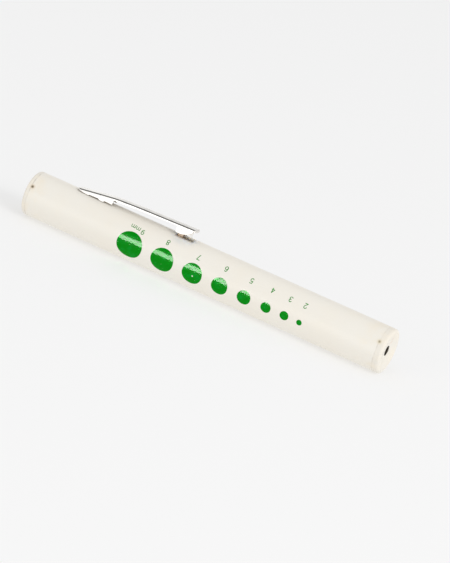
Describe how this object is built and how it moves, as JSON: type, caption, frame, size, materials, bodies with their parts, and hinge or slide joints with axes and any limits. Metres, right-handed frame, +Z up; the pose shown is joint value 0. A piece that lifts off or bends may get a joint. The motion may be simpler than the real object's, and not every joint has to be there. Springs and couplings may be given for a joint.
{
  "type": "penlight",
  "caption": "Slim plastic penlight with a pupil gauge side, a light hole in its dished nose, a pull-out tail plug and a pivoted metal pocket clip that works the light.",
  "frame": {"origin": "under the middle of the barrel's length, on the surface that the barrel lies on", "axes": "+X along the barrel towards the light hole, +Z up through the pocket clip, gauge side towards -Y"},
  "size_m": [0.1296, 0.0148, 0.0185],
  "materials": {
    "ivory_plastic": "aged ivory, soft gloss",
    "nickel": "bright nickel plate",
    "brass": "stamped brass, slightly tarnished",
    "spring_steel": "drawn wire and strip",
    "bulb_glass": "clear",
    "tungsten": "drawn wire",
    "black_insulator": "black glass",
    "solder": "soft solder",
    "fibre": "pressed fibre",
    "cell_can": "plain dark sleeve",
    "cell_core": "packed mix",
    "cell_seal": "moulded",
    "cell_plate": "tinned"
  },
  "bodies": {
    "barrel": {"barrel": "ivory_plastic", "nose_plug": "ivory_plastic", "clip_bracket": "brass", "clip_pin": "spring_steel", "return_leaf": "spring_steel", "contact_leaf": "brass", "ground_strip": "brass", "bulb_holder": "brass", "bulb_shell": "brass", "bulb_glass": "bulb_glass", "bulb_stem": "bulb_glass", "bulb_filament": "tungsten", "bulb_insulator": "black_insulator", "bulb_tip": "solder", "insulating_washer": "fibre", "front_cell_can": "cell_can", "front_cell_core": "cell_core", "front_cell_seal": "cell_seal", "front_cell_terminal": "cell_plate", "front_cell_base": "cell_plate", "rear_cell_can": "cell_can", "rear_cell_core": "cell_core", "rear_cell_seal": "cell_seal", "rear_cell_terminal": "cell_plate", "rear_cell_base": "cell_plate"},
    "clip": {"pocket_clip": "nickel"},
    "tail_end": {"tail_plug": "ivory_plastic", "tail_contact": "brass", "tail_spring": "spring_steel"}
  },
  "joints": [
    {"name": "clip_press", "type": "hinge", "parent": "barrel", "child": "clip", "pos_m": [-0.01185, 0, 0.0169], "axis": [0, 1, 0], "range_deg": [0, 8], "stiffness_Nm_per_rad": 0.02, "springref_deg": -3.44, "deforming": ["return_leaf"]},
    {"name": "tail_plug_pull", "type": "slide", "parent": "barrel", "child": "tail_end", "axis": [-1, 0, 0], "range_m": [0, 0.03]}
  ]
}
